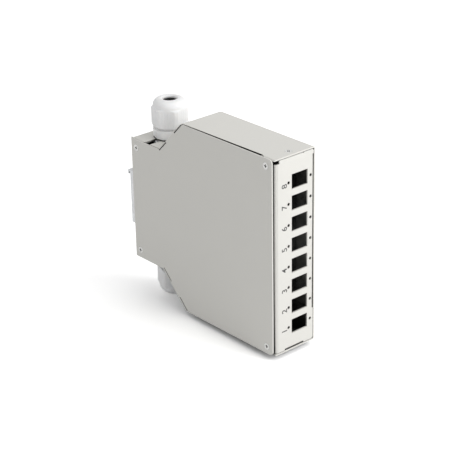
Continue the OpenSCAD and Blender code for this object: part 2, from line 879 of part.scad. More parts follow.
// A comb with two rows of fingers that hold the splice sleeves between them
module splice_holder() {
    rib_t = 1.1;
    rib_l = 9;
    rib_in = 1.5;
    bead_r = 0.85;
    base_x = pad_x - holder_base_t;
    color("dimgray") {
        holder_frame(base_x, holder_base_t, 0);
        for (i = [0:grooves])
            both_ends()
                translate([base_x - holder_rib_h, holder_y + (i - grooves / 2) * groove_pitch,
                        holder_l / 2 - rib_l - rib_in]) {
                    translate([0, -rib_t / 2, 0])
                        cube([holder_rib_h, rib_t, rib_l]);
                    cylinder(r = bead_r, h = rib_l);
                }
    }
}

// A flat frame in the shape of the holder's base, smaller by a margin
module holder_frame(x, thick, margin) {
    translate([x + thick / 2, holder_y, 0])
        difference() {
            cube([thick, holder_w - 2 * margin, holder_l - 2 * margin], center = true);
            cube([thick + past, holder_opening[0], holder_opening[1]], center = true);
        }
}

module splice_holder_pad() {
    color("white")
        holder_frame(pad_x, pad_t, 1);
}

// Clips that guide the slack fibre round: a base and a ring with a slot
module fibre_clips() {
    base_t = 1.6;
    ring_t = 1.4;
    ring_l = 7;
    ring_r = 0.3 * fibre_clip_w;
    slot = 1.6;
    color("white")
        for (place = clip_places)
            translate([pad_x - base_t, place[0], place[1]]) {
                translate([0, -fibre_clip_w / 2, -fibre_clip_w / 2])
                    cube([base_t, fibre_clip_w, fibre_clip_w]);
                translate([-ring_r, ring_l / 2, 0])
                    rotate([90, 0, 0])
                        linear_extrude(ring_l)
                            difference() {
                                circle(ring_r + ring_t);
                                circle(ring_r);
                                // the side towards the base and the slot towards the cover
                                translate([ring_r + base_t / 2, -fibre_clip_w])
                                    square([fibre_clip_w, 2 * fibre_clip_w]);
                                translate([-2 * fibre_clip_w, -slot / 2])
                                    square([2 * fibre_clip_w, slot]);
                            }
            }
}

module fibre_clip_pads() {
    color("white")
        for (place = clip_places)
            translate([pad_x, place[0] - fibre_clip_w / 2 + 0.5, place[1] - fibre_clip_w / 2 + 0.5])
                cube([pad_t, fibre_clip_w - 1, fibre_clip_w - 1]);
}

// Square mounts with a bridge that a cable tie goes under
module cable_tie_mounts() {
    base_t = 1.4;
    bridge_t = 1.4;
    tunnel = 1.8;
    rib = 5;
    color("white")
        both_ends()
            translate([pad_x - base_t, gland_y, tie_z])
                difference() {
                    union() {
                        translate([0, -tie_mount_w / 2, -tie_mount_w / 2])
                            cube([base_t, tie_mount_w, tie_mount_w]);
                        translate([-tunnel - bridge_t, -rib, -rib])
                            cube([tunnel + bridge_t, 2 * rib, 2 * rib]);
                    }
                    translate([-tunnel, -tie_mount_w, -rib / 2])
                        cube([tunnel, 2 * tie_mount_w, rib]);
                    translate([-tunnel, -rib / 2, -tie_mount_w])
                        cube([tunnel, rib, 2 * tie_mount_w]);
                }
}

module cable_tie_mount_pads() {
    color("white")
        both_ends()
            translate([pad_x, gland_y - tie_mount_w / 2 + 0.5, tie_z - tie_mount_w / 2 + 0.5])
                cube([pad_t, tie_mount_w - 1, tie_mount_w - 1]);
}

housing_shell();
side_cover();
cover_screws();
cover_nuts();
front_plate();
front_plate_screws();
front_plate_nuts();
top_gland_body();
top_gland_gasket();
top_gland_locknut();
top_gland_seal();
top_gland_nut();
bottom_gland_body();
bottom_gland_gasket();
bottom_gland_locknut();
bottom_gland_seal();
bottom_gland_nut();
rail_bracket();
rail_latch();
latch_spring();
bracket_screws();
bracket_nuts();
splice_holder();
splice_holder_pad();
fibre_clips();
fibre_clip_pads();
cable_tie_mounts();
cable_tie_mount_pads();
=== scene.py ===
"""The looks of a slim steel fibre box for a rail: finishes, detailed pieces, floor, light and camera."""
import json
import math

import bmesh
import bpy
from mathutils import Matrix, Vector

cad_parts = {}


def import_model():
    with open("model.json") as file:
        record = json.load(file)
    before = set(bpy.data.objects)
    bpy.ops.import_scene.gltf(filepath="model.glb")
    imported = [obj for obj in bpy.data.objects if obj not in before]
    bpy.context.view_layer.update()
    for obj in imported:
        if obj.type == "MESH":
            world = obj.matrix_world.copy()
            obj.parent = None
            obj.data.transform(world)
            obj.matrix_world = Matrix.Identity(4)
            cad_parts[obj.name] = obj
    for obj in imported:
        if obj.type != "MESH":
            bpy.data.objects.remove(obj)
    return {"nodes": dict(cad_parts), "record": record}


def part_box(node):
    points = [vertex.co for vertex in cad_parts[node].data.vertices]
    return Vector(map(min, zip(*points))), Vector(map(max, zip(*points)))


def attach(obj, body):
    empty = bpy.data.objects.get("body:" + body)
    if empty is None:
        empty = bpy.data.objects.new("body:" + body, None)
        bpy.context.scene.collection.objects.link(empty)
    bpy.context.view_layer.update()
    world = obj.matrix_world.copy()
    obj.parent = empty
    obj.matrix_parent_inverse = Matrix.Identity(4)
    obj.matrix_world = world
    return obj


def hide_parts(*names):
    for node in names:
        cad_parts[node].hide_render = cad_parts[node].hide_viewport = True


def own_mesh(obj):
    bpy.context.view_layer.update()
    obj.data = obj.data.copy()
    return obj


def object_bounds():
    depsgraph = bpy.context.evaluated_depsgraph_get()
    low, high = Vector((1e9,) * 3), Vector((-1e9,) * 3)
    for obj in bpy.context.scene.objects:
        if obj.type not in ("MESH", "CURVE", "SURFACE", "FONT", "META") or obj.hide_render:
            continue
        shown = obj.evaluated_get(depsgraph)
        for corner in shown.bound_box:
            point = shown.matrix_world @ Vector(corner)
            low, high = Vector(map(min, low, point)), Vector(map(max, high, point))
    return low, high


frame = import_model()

CAD_BOX = [list(corner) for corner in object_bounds()]
MM = 0.001
NODES = frame["nodes"]

# Places taken from the frame, in metres
SHELL_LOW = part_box("housing_shell")[0]
PLATE_LOW, PLATE_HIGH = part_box("front_plate")
FLOOR_Z = CAD_BOX[0][2] - 0.1 * MM

# Closer than this counts as the same place on the housing or on the front plate
CLOSE = 0.02 * MM
SAME = 0.01 * MM

# The view that the photograph was taken from
CAMERA_PLACE = Vector((-579.19, -740.58, 400.72)) * MM
CAMERA_AZIMUTH = -41.07
CAMERA_ELEVATION = 24.57
CAMERA_ROLL = -1.11
LENS = 120.36
SENSOR = 36
CLIP = (0.01, 50)

# Painted shade: the reach of the occlusion test for closed spaces, the open share
# over which a colour is painted dark there, and how much of its colour a surface keeps there
PAINTED_SHADE_REACH = 60 * MM
PAINTED_SHADE_RANGE = (0.24, 0.5)
PAINTED_SHADE_SHARE = 0.02
# The middle of a noise's values, where most of it lies
MIDDLE = (0.35, 0.65)
WIDE_MIDDLE = (0.3, 0.7)
# How round the edges of painted sheet and of mouldings look, in mm
PAINT_EDGE_R = 0.25
PLASTIC_EDGE_R = 0.2
# How far light spreads inside the glands' nylon, for each colour
GLOW_REACH = (4 * MM, 3.8 * MM, 3.6 * MM)


class Tree:
    """A material's nodes, made and linked in short calls."""

    def __init__(self, name):
        self.material = bpy.data.materials.new(name)
        self.material.use_nodes = True
        self.tree = self.material.node_tree
        self.tree.nodes.clear()
        self.output = self.add("ShaderNodeOutputMaterial")

    def add(self, kind, settings=None, **inputs):
        """A new node with settings and with values or links for its inputs."""
        node = self.tree.nodes.new(kind)
        for key, value in (settings or {}).items():
            setattr(node, key, value)
        for key, value in inputs.items():
            socket = node.inputs[key.replace("_", " ")]
            self.put(socket, value)
        return node

    def put(self, socket, value):
        """Gives an input a value, or a link where the value is another node's output."""
        if isinstance(value, bpy.types.NodeSocket):
            self.tree.links.new(value, socket)
        elif hasattr(value, "__len__") and socket.type == "RGBA" and len(value) == 3:
            socket.default_value = (*value, 1)
        else:
            socket.default_value = value

    def where(self):
        """The place on the surface, in the frame's metres."""
        return self.add("ShaderNodeTexCoord").outputs["Object"]

    def noise(self, size, detail=2.0, stretch=None):
        """Noise with features of a size in millimetres, from 0 to 1."""
        place = self.where()
        if stretch:
            place = self.add("ShaderNodeVectorMath", {"operation": "MULTIPLY"})
            self.put(place.inputs[0], self.where())
            self.put(place.inputs[1], stretch)
            place = place.outputs[0]
        noise = self.add("ShaderNodeTexNoise", Vector=place, Scale=1 / (size * MM), Detail=detail)
        return noise.outputs["Fac"]

    def spread(self, value, low, high, start=0.0, end=1.0):
        """Maps a value from start..end to low..high."""
        node = self.add("ShaderNodeMapRange")
        for key, number in (("Value", value), ("From Min", start), ("From Max", end),
                            ("To Min", low), ("To Max", high)):
            self.put(node.inputs[key], number)
        return node.outputs["Result"]

    def blend(self, share, first, second):
        """A colour between two colours."""
        node = self.add("ShaderNodeMix", {"data_type": "RGBA"})
        self.put(node.inputs["Factor"], share)
        self.put(node.inputs[6], first)
        self.put(node.inputs[7], second)
        return node.outputs[2]

    def bump(self, height, strength, depth, under=None):
        """A bump of a depth in millimetres, on top of another."""
        node = self.add("ShaderNodeBump", Height=height, Strength=strength, Distance=depth * MM)
        if under:
            self.put(node.inputs["Normal"], under)
        return node.outputs["Normal"]

    def soft_edges(self, radius):
        """The surface's normal with its edges rounded to a radius in millimetres."""
        return self.add("ShaderNodeBevel", {"samples": 4}, Radius=radius * MM).outputs["Normal"]

    def painted_shade_inside(self, tone):
        """Painted shade: a colour painted dark by an occlusion test in closed spaces and narrow gaps, where
        little light gets in.
        """
        # painted shade: the open share from the occlusion test sets how dark the colour is painted
        test = self.add("ShaderNodeAmbientOcclusion", {"samples": 8}, Distance=PAINTED_SHADE_REACH)
        open_share = test.outputs["AO"]
        dark = self.add("ShaderNodeMix", {"data_type": "RGBA", "blend_type": "MULTIPLY"}, Factor=1.0)
        self.put(dark.inputs[6], tone)
        self.put(dark.inputs[7], (PAINTED_SHADE_SHARE, PAINTED_SHADE_SHARE, PAINTED_SHADE_SHARE))
        return self.blend(self.spread(open_share, 0, 1, *PAINTED_SHADE_RANGE), dark.outputs[2], tone)

    def surface(self, **inputs):
        """The finished material."""
        shader = self.add("ShaderNodeBsdfPrincipled", **inputs)
        self.tree.links.new(shader.outputs[0], self.output.inputs["Surface"])
        return self.material


def scaled(colour, share):
    """A colour made darker or lighter."""
    return tuple(channel * share for channel in colour)


def powder_paint(name, colour):
    """A semi-matt powder coat: an even colour with a fine grain and a soft orange peel, with painted shade
    inside the housing and in narrow gaps.
    """
    t = Tree(name)
    grain = t.noise(0.35, detail=3)
    peel = t.noise(1.6, detail=1)
    patches = t.noise(45, detail=2)
    tone = t.blend(t.spread(patches, 0, 1, *MIDDLE), scaled(colour, 0.985), scaled(colour, 1.0))
    tone = t.blend(t.spread(grain, 0, 0.5, *WIDE_MIDDLE), tone, scaled(colour, 0.95))
    orange_peel = t.bump(peel, strength=0.3, depth=0.02, under=t.soft_edges(PAINT_EDGE_R))
    return t.surface(
        # painted shade: the paint's colour is darkened inside the housing and in narrow gaps
        Base_Color=t.painted_shade_inside(tone),
        Roughness=t.spread(grain, 0.46, 0.56, *WIDE_MIDDLE),
        Normal=t.bump(grain, strength=0.35, depth=0.012, under=orange_peel))


def moulded_plastic(name, colour, roughness, glow=0.0):
    """Moulded nylon with a fine eroded texture and slight marbling, and painted shade in closed spaces and
    gaps except on the translucent gland nylon.
    """
    t = Tree(name)
    grain = t.noise(0.22, detail=2)
    flow = t.noise(9, detail=3)
    tone = t.blend(t.spread(flow, 0, 1, *MIDDLE), scaled(colour, 0.97), colour)
    waves = t.bump(flow, strength=0.1, depth=0.03, under=t.soft_edges(PLASTIC_EDGE_R))
    shader = dict(
        # painted shade in closed spaces and gaps, left out on the translucent gland nylon
        Base_Color=tone if glow else t.painted_shade_inside(tone),
        Roughness=t.spread(flow, roughness - 0.04, roughness + 0.05, *WIDE_MIDDLE),
        Normal=t.bump(grain, strength=0.25, depth=0.008, under=waves))
    if glow:
        shader.update(Subsurface_Weight=glow, Subsurface_Radius=GLOW_REACH, Subsurface_Scale=1.0)
    return t.surface(**shader)


def plated_steel(name, colour, roughness, grain_mm, metal=1.0):
    """Zinc plated steel with rolling marks and cloudy patches, and painted shade in its recesses and closed
    spaces.
    """
    t = Tree(name)
    marks = t.noise(grain_mm, detail=3)
    clouds = t.noise(6, detail=3)
    tone = t.blend(t.spread(clouds, 0, 1, *MIDDLE), scaled(colour, 0.86), colour)
    return t.surface(
        # painted shade: the colour is darkened in screw recesses and closed spaces
        Base_Color=t.painted_shade_inside(tone),
        Metallic=metal,
        Roughness=t.spread(marks, roughness - 0.07, roughness + 0.09, *WIDE_MIDDLE),
        Normal=t.bump(marks, strength=0.3, depth=0.01))


def galvanised_steel(name, colour):
    """Galvanised sheet with faint crystals and rolling marks."""
    t = Tree(name)
    crystals = t.add("ShaderNodeTexVoronoi", Vector=t.where(), Scale=1 / (2.4 * MM))
    lines = t.noise(0.5, detail=2, stretch=(0.15, 1, 1))
    tone = t.blend(t.spread(crystals.outputs["Color"], 0, 1), scaled(colour, 0.82), colour)
    return t.surface(
        Base_Color=tone,
        Metallic=0.9,
        Roughness=t.spread(lines, 0.34, 0.5, *WIDE_MIDDLE),
        Normal=t.bump(lines, strength=0.25, depth=0.01))


def black_rubber(name, colour):
    """Moulded rubber with a dusty grain."""
    t = Tree(name)
    grain = t.noise(0.3, detail=3)
    dust = t.noise(4, detail=2)
    tone = t.blend(t.spread(dust, 0, 0.5, 0.4, 0.8), colour, scaled(colour, 2.2))
    return t.surface(
        Base_Color=tone,
        Roughness=t.spread(grain, 0.55, 0.75, *WIDE_MIDDLE),
        Normal=t.bump(grain, strength=0.4, depth=0.02))


def foam(name, colour):
    """Closed foam with open cells along its cut edges."""
    t = Tree(name)
    cells = t.add("ShaderNodeTexVoronoi", Vector=t.where(), Scale=1 / (0.35 * MM)).outputs["Distance"]
    tone = t.blend(t.spread(cells, 0, 1, 0, 0.6), scaled(colour, 0.5), colour)
    return t.surface(
        Base_Color=tone,
        Roughness=0.85,
        Normal=t.bump(cells, strength=0.6, depth=0.05))


def ink(name, colour):
    """Printed ink, slightly uneven where it covers the paint's grain."""
    t = Tree(name)
    grain = t.noise(0.3, detail=3)
    tone = t.blend(t.spread(grain, 0, 1, *MIDDLE), colour, scaled(colour, 1.6))
    return t.surface(
        Base_Color=tone,
        Roughness=t.spread(grain, 0.4, 0.6, *WIDE_MIDDLE),
        Normal=t.bump(grain, strength=0.3, depth=0.01))


# The housing's pale warm grey, and a finish for each material slot of the record
PAINT = (0.74, 0.73, 0.69)
FINISHES = {
    "housing_paint": powder_paint("housing_paint", PAINT),
    "cover_paint": powder_paint("cover_paint", scaled(PAINT, 0.98)),
    "plate_paint": powder_paint("plate_paint", PAINT),
    "screw_steel": plated_steel("screw_steel", (0.76, 0.76, 0.74), roughness=0.4, grain_mm=0.5, metal=0.45),
    "nut_steel": plated_steel("nut_steel", (0.6, 0.6, 0.6), roughness=0.4, grain_mm=0.5),
    "clip_zinc": galvanised_steel("clip_zinc", (0.6, 0.61, 0.62)),
    "spring_steel": plated_steel("spring_steel", (0.42, 0.42, 0.43), roughness=0.3, grain_mm=0.3),
    "gland_plastic": moulded_plastic("gland_plastic", (0.96, 0.955, 0.95), roughness=0.42, glow=0.6),
    "gasket_rubber": black_rubber("gasket_rubber", (0.03, 0.03, 0.03)),
    "holder_plastic": moulded_plastic("holder_plastic", (0.03, 0.03, 0.032), roughness=0.5),
    "clip_plastic": moulded_plastic("clip_plastic", (0.8, 0.8, 0.77), roughness=0.45),
    "pad_foam": foam("pad_foam", (0.3, 0.3, 0.3)),
}


def dress_nodes():
    """Gives every CAD node the finish of its material slot."""
    for row in frame["record"]["subparts"]:
        for slot in NODES[row["node"]].material_slots:
            slot.material = FINISHES[row["material_slot"]]


# The walls that the side cover lies over, in metres: its left side, front and
# rear, the top wall, the shelf, and the slanted wall between those two
LEFT_X = SHELL_LOW.x
FRONT_Y = PLATE_LOW.y
REAR_Y = -3 * MM
TOP_Z = 66 * MM
SHELF_Z = 42.7 * MM
SHELF_Y = -31.6 * MM
SLANT_Y = -54.3 * MM

# The side cover: its thickness, how far it stands back from the front and from
# the walls' outer faces, its front corners, its soft edges, and the length and
# height of the raised corner at its upper rear end
COVER_T = 1 * MM
COVER_BACK = 1.1 * MM
COVER_IN = 0.12 * MM
COVER_CORNER_R = 2.5 * MM
COVER_EDGE_R = 0.12 * MM
COVER_EAR = (3.8 * MM, 0.9 * MM)
ARC_STEPS = 8
HOLE_STEPS = 36
SCREW_HOLE_R = 2.42 * MM
COVER_SCREWS = [(-132.5, 60.9), (-132.5, -60.9), (-7.9, 37), (-7.9, -37)]

# How far the walls' bare edges stand back under the cover, elsewhere and at
# the shelves, and the sheet's thickness
EDGE_GAP = 0.7 * MM
SHELF_GAP = 0.25 * MM
SHEET = 1 * MM
# The round reliefs behind the front flanges, and how far those stand back. A
# point of the housing is on a relief when it is less than RELIEF_BAND below
# the top, and on a front flange's edge when it is further in than FLANGE_BAND
# and less than FLANGE_EDGE behind the front
RELIEF_Y = FRONT_Y + 10.4 * MM
RELIEF_R = 0.95 * MM
RELIEF_BAND = 1.2 * MM
FLANGE_BACK = 4.3 * MM
FLANGE_BAND = 1.1 * MM
FLANGE_EDGE = 2 * MM

# The slanted walls: the bare edge that shows beside the cover, above and
# below, and the seam between edge and cover. The bare stretches are shares of
# the wall's length from the top or bottom wall, read as mm along Y
HIGH_STRIP_T = 0.35 * MM
LOW_STRIP_T = 1 * MM
SEAM = 0.7 * MM
SLANT = Vector((SHELF_Y - SLANT_Y, SHELF_Z - TOP_Z))
SLANT_IN = Vector((SLANT.y, -SLANT.x)).normalized()
SLANT_REACH = 22.7
BARE_STRETCHES = ((0, 7 / SLANT_REACH), (15.5 / SLANT_REACH, 1))


def copied(node, name):
    """A new object with a copy of a CAD node's mesh."""
    obj = bpy.data.objects.new(name, NODES[node].data.copy())
    obj.data.materials.clear()
    bpy.context.scene.collection.objects.link(obj)
    return obj


def arc(centre, radius, start, end, steps):
    """Points of an arc in a plane, between two angles in degrees."""
    turns = [math.radians(start + (end - start) * i / steps) for i in range(steps + 1)]
    return [(centre[0] + radius * math.cos(t), centre[1] + radius * math.sin(t)) for t in turns]


def circle(centre, radius):
    """Points of a circle in a plane."""
    step = 360 / HOLE_STEPS
    return arc(centre, radius, 0, 360 - step, HOLE_STEPS - 1)


def on_slant(share, deep):
    """A point of the upper slanted wall in the Y-Z plane, at a share of its length and a depth."""
    return tuple(Vector((SLANT_Y, TOP_Z)) + share * SLANT + deep * SLANT_IN)


def turned_down(points):
    """The same points at the lower end of the housing, in the other order."""
    return [(y, -z) for y, z in reversed(points)]


def upright(mesh, x):
    """Turns a mesh of the X-Y plane into the Y-Z plane and puts it at x."""
    standing = Matrix(((0, 0, 1), (1, 0, 0), (0, 1, 0))).to_4x4()
    mesh.transform(Matrix.Translation((x, 0, 0)) @ standing)
    return mesh


def folded_shell():
    """The housing with its walls' edges cut back under the side cover, and bare edges on its slants."""
    shell = copied("housing_shell", "folded_housing")
    flange_x = LEFT_X + COVER_T
    for vertex in shell.data.vertices:
        co = vertex.co
        on_relief = abs(co.y - RELIEF_Y) < RELIEF_R + CLOSE and abs(co.z) > TOP_Z - RELIEF_BAND
        on_flange = co.x < flange_x + SHEET + CLOSE and abs(co.z) < TOP_Z - FLANGE_BAND
        if co.x < flange_x - CLOSE and on_relief:
            co.x += COVER_T + EDGE_GAP
        elif co.x < flange_x - CLOSE:
            co.x = flange_x + (SHELF_GAP if co.y > SHELF_Y - EDGE_GAP else EDGE_GAP)
        elif on_flange and co.y < FRONT_Y + FLANGE_EDGE:
            co.y = FRONT_Y + FLANGE_BACK
    for start, end in BARE_STRETCHES:
        for thick, lower in ((HIGH_STRIP_T, False), (LOW_STRIP_T, True)):
            strip = [on_slant(start, 0), on_slant(end, 0), on_slant(end, thick), on_slant(start, thick)]
            points = turned_down(strip) if lower else strip
            merge(shell, upright(extruded(points, LEFT_X, flange_x + EDGE_GAP), 0))
    return shell


def slant_side(strip_t, top, shelf):
    """The side cover's edge along a slanted wall, set back from the wall's bare edges."""
    points = []
    deep = strip_t + SEAM
    for start, end in BARE_STRETCHES:
        points += [on_slant(start, 0), on_slant(start, deep), on_slant(end, deep), on_slant(end, 0)]
    return [(points[1][0] - SEAM, top)] + points[1:-1] + [(SHELF_Y, shelf)]


def cover_outline():
    """The side cover's outline in the Y-Z plane, seen from the left, with round front corners."""
    front = FRONT_Y + COVER_BACK
    top, shelf = TOP_Z - COVER_IN, SHELF_Z - COVER_IN
    rear = REAR_Y - COVER_IN
    r = COVER_CORNER_R
    ear_l, ear_h = COVER_EAR
    upper = arc((front + r, top - r), r, 180, 90, ARC_STEPS)
    upper += slant_side(HIGH_STRIP_T, top, shelf)
    upper += [(rear - ear_l, shelf), (rear - ear_l / 2, shelf + ear_h), (rear, shelf + ear_h)]
    lower = [(rear, -shelf)] + turned_down(slant_side(LOW_STRIP_T, top, shelf))
    lower += arc((front + r, r - top), r, 270, 180, ARC_STEPS)
    return upper + lower


def flat_piece(name, outlines, thickness, edge_r):
    """A flat piece in the X-Y plane with holes and softly rounded edges, centred on z = 0."""
    curve = bpy.data.curves.new(name, "CURVE")
    curve.dimensions = "2D"
    curve.fill_mode = "BOTH"
    curve.extrude = thickness / 2 - edge_r
    curve.bevel_depth = edge_r
    curve.bevel_resolution = 2
    curve.offset = -edge_r
    for outline in outlines:
        spline = curve.splines.new("POLY")
        spline.points.add(len(outline) - 1)
        for point, (x, y) in zip(spline.points, outline):
            point.co = (x, y, 0, 1)
        spline.use_cyclic_u = True
    return mesh_of(curve, name)


def mesh_of(curve, name):
    """The mesh of a curve, which is deleted."""
    holder = bpy.data.objects.new(name, curve)
    bpy.context.scene.collection.objects.link(holder)
    bpy.context.view_layer.update()
    graph = bpy.context.evaluated_depsgraph_get()
    mesh = bpy.data.meshes.new_from_object(holder.evaluated_get(graph))
    bpy.data.objects.remove(holder)
    bpy.data.curves.remove(curve)
    return mesh


def side_cover():
    """The flat cover that laps over the walls' edges, with its screw holes."""
    holes = [circle((y * MM, z * MM), SCREW_HOLE_R) for y, z in COVER_SCREWS]
    mesh = flat_piece("lapped_cover", [cover_outline()] + holes, COVER_T, COVER_EDGE_R)
    upright(mesh, LEFT_X + COVER_T / 2)
    mesh.materials.clear()
    cover = bpy.data.objects.new("lapped_cover", mesh)
    bpy.context.scene.collection.objects.link(cover)
    return cover


# The front plate's left lip, its fold, its thickness and its lower left relief
LIP_DEPTH = 3.4 * MM
FOLD_R = 1.5 * MM
PLATE_T = 1 * MM
CORNER_RELIEF = (3.2 * MM, 2.2 * MM)


def front_plate():
    """The front plate with a rounded lip along its left edge."""
    plate = copied("front_plate", "lipped_front_plate")
    left, low, high = PLATE_LOW.x, PLATE_LOW.z, PLATE_HIGH.z
    relief_z = low + CORNER_RELIEF[1]
    for vertex in plate.data.vertices:
        co = vertex.co
        on_relief = abs(co.x - left - CORNER_RELIEF[0]) < SAME and co.z < relief_z + SAME
        if on_relief and abs(co.z - relief_z) < SAME:
            co.x, co.z = left, low
        if co.x < left + FOLD_R:
            co.x = left + FOLD_R
    outer = arc((left + FOLD_R, FRONT_Y + FOLD_R), FOLD_R, 270, 180, ARC_STEPS)
    inner = arc((left + FOLD_R, FRONT_Y + FOLD_R), FOLD_R - PLATE_T, 180, 270, ARC_STEPS)
    profile = outer + [(left, FRONT_Y + LIP_DEPTH), (left + PLATE_T, FRONT_Y + LIP_DEPTH)] + inner
    lip = extruded(profile, low, high - CORNER_RELIEF[1])
    merge(plate, lip)
    return plate


def extruded(profile, low, high):
    """A mesh with a profile in X and Y between two heights."""
    n = len(profile)
    points = [(x, y, low) for x, y in profile] + [(x, y, high) for x, y in profile]
    faces = [(i, (i + 1) % n, n + (i + 1) % n, n + i) for i in range(n)]
    faces += [tuple(range(n - 1, -1, -1)), tuple(range(n, 2 * n))]
    mesh = bpy.data.meshes.new("extruded")
    mesh.from_pydata(points, [], faces)
    return mesh


def merge(obj, mesh):
    """Adds a mesh to an object's mesh."""
    whole = bmesh.new()
    whole.from_mesh(obj.data)
    whole.from_mesh(mesh)
    whole.to_mesh(obj.data)
    whole.free()
    bpy.data.meshes.remove(mesh)


# The dome nuts, in mm: axis and lower face, the hexagon with its turn in
# degrees, the round dome, the mouth as (radius, depth), and the seat inside
GLAND_AXIS = Vector((3.5, -18.5)) * MM
NUT_Z = 51.2
NUT_HEIGHT = 18.2
NUT_FLAT = 11.2
NUT_CORNER = 12.35
NUT_TURN = 41
NUT_STEPS = 360
NUT_SHARP_ANGLE = 28
FOOT_CHAMFER = 0.7
HEXAGON_TOP = 11.8
HEXAGON_ROWS = 15
ROW_STEP = 0.74
DOME_FOOT = 13.3
DOME_R = 11.15
DOME_EDGE_R = 4.7
DOME_STEPS = 16
MOUTH = ((5.9, 0), (5.6, 0.08), (5.2, 0.4), (4.75, 1))
SEAT_Z = 16.3
SEAT_R = (4.75, 7.05)
# The grips on each flat, and the height and distance over which they fade
GRIPS = 5
GRIP_PITCH = 1.9
GRIP_WIDTH = 0.34
GRIP_DEPTH = 0.13
GRIP_TOP = 11.9
GRIP_FADE = 0.8
# The bore and its thread
BORE_R = 9.35
BORE_TOP = 10.8
THREAD_TOP = 10.6
THREAD_ROWS = 41
THREAD_STEP = 0.25
THREAD_PITCH = 1.5
THREAD_DEPTH = 0.35


def nut_profile():
    """The nut's closed profile as (radius, height, kind) in mm: outside, mouth and bore."""
    outside = [(NUT_CORNER - FOOT_CHAMFER + z, z, "hexagon") for z in (0, 0.2, 0.45, FOOT_CHAMFER)]
    outside += [(NUT_CORNER, FOOT_CHAMFER + ROW_STEP * (i + 1), "hexagon") for i in range(HEXAGON_ROWS)]
    outside += [(NUT_CORNER - z, HEXAGON_TOP + z, "hexagon") for z in (0.15, 0.35, 0.6, 0.9, 1.2)]
    outside += [(DOME_R, DOME_FOOT, "round")]
    centre = (DOME_R - DOME_EDGE_R, NUT_HEIGHT - DOME_EDGE_R)
    outside += [(r, z, "round") for r, z in arc(centre, DOME_EDGE_R, 0, 90, DOME_STEPS)]
    mouth = [(r, NUT_HEIGHT - deep, "round") for r, deep in MOUTH]
    mouth += [(r, SEAT_Z, "round") for r in SEAT_R] + [(BORE_R, BORE_TOP, "round")]
    bore = [(BORE_R, THREAD_TOP - THREAD_STEP * i, "thread") for i in range(THREAD_ROWS)]
    return outside + mouth + bore + [(BORE_R, 0, "round")]


def nut_radius(radius, kind, height, angle):
    """The nut's radius at an angle in degrees, with its flats, grips or thread."""
    if kind == "thread":
        wave = (height / THREAD_PITCH + angle / 360) % 1
        return radius + THREAD_DEPTH * (1 - abs(2 * wave - 1)) * min(1, height, BORE_TOP - height)
    if kind == "round":
        return radius
    # angle from the middle of the nearest flat
    off = (angle - NUT_TURN + 30) % 60 - 30
    flat = NUT_FLAT / math.cos(math.radians(off))
    along = NUT_FLAT * math.tan(math.radians(off))
    fade = max(0.0, min(1.0, (GRIP_TOP - height) / GRIP_FADE))
    for i in range(GRIPS):
        away = (along - (i - (GRIPS - 1) / 2) * GRIP_PITCH) / GRIP_WIDTH
        flat -= fade * GRIP_DEPTH * math.exp(-away * away)
    return min(flat, radius)


def dome_nut(name, side):
    """A dome nut on the gland's axis, at the top for side 1 or turned over at the bottom for -1."""
    profile = nut_profile()
    rows = len(profile)
    points, faces = [], []
    for step in range(NUT_STEPS):
        angle = 360 * step / NUT_STEPS
        turn = math.radians(angle)
        for radius, height, kind in profile:
            r = nut_radius(radius, kind, height, angle) * MM
            points.append((GLAND_AXIS.x + r * math.cos(turn), GLAND_AXIS.y + r * math.sin(turn),
                           side * (NUT_Z + height) * MM))
    for step in range(NUT_STEPS):
        a, b = step * rows, (step + 1) % NUT_STEPS * rows
        for i in range(rows):
            j = (i + 1) % rows
            face = (a + i, b + i, b + j, a + j)
            faces.append(face if side > 0 else face[::-1])
    mesh = bpy.data.meshes.new(name)
    mesh.from_pydata(points, [], faces)
    mesh.shade_smooth()
    mesh.set_sharp_from_angle(angle=math.radians(NUT_SHARP_ANGLE))
    nut = bpy.data.objects.new(name, mesh)
    bpy.context.scene.collection.objects.link(nut)
    return nut


# The latch's spring, in mm: its axis, ends, radius, wire and turns, the mesh's
# steps, and how much its end turns close up
SPRING_Y = -1.85
SPRING_LOW = -8.95
SPRING_HIGH = 3.45
SPRING_R = 0.82
SPRING_WIRE_R = 0.18
SPRING_TURNS = 9
SPRING_STEPS = 28
SPRING_SIDES = 10
SPRING_CLOSE = 0.035


def spring():
    """The latch's spring as a smooth wire."""
    steps, sides = SPRING_TURNS * SPRING_STEPS, SPRING_SIDES
    points, faces = [], []
    low, high = SPRING_LOW + SPRING_WIRE_R, SPRING_HIGH - SPRING_WIRE_R
    for i in range(steps + 1):
        turn = 2 * math.pi * SPRING_TURNS * i / steps
        share = i / steps
        share -= SPRING_CLOSE * math.sin(2 * math.pi * share)
        for j in range(sides):
            side = 2 * math.pi * j / sides
            r = SPRING_R + SPRING_WIRE_R * math.cos(side)
            points.append((r * math.cos(turn) * MM, (SPRING_Y + r * math.sin(turn)) * MM,
                           (low + (high - low) * share + SPRING_WIRE_R * math.sin(side)) * MM))
    for i in range(steps):
        for j in range(sides):
            a, b = i * sides + j, i * sides + (j + 1) % sides
            faces.append((a, b, b + sides, a + sides))
    faces += [tuple(range(sides - 1, -1, -1)), tuple(steps * sides + j for j in range(sides))]
    mesh = bpy.data.meshes.new("wound_spring")
    mesh.from_pydata(points, [], faces)
    mesh.shade_smooth()
    made = bpy.data.objects.new("wound_spring", mesh)
    bpy.context.scene.collection.objects.link(made)
    return made


# Printed numbers beside the openings: place, height, the share of the letters'
# size that a number's height takes, and how much bolder than plain they are
NUMBER_X = -8.0 * MM
NUMBER_DROP = 1.35 * MM
NUMBER_H = 4.3 * MM
NUMBER_SHARE = 0.72
NUMBER_BOLD = 0.07 * MM
INK_T = 0.02 * MM
LOW_PORT_Z = -49.75 * MM
PORT_PITCH = 14 * MM
PORTS = 8


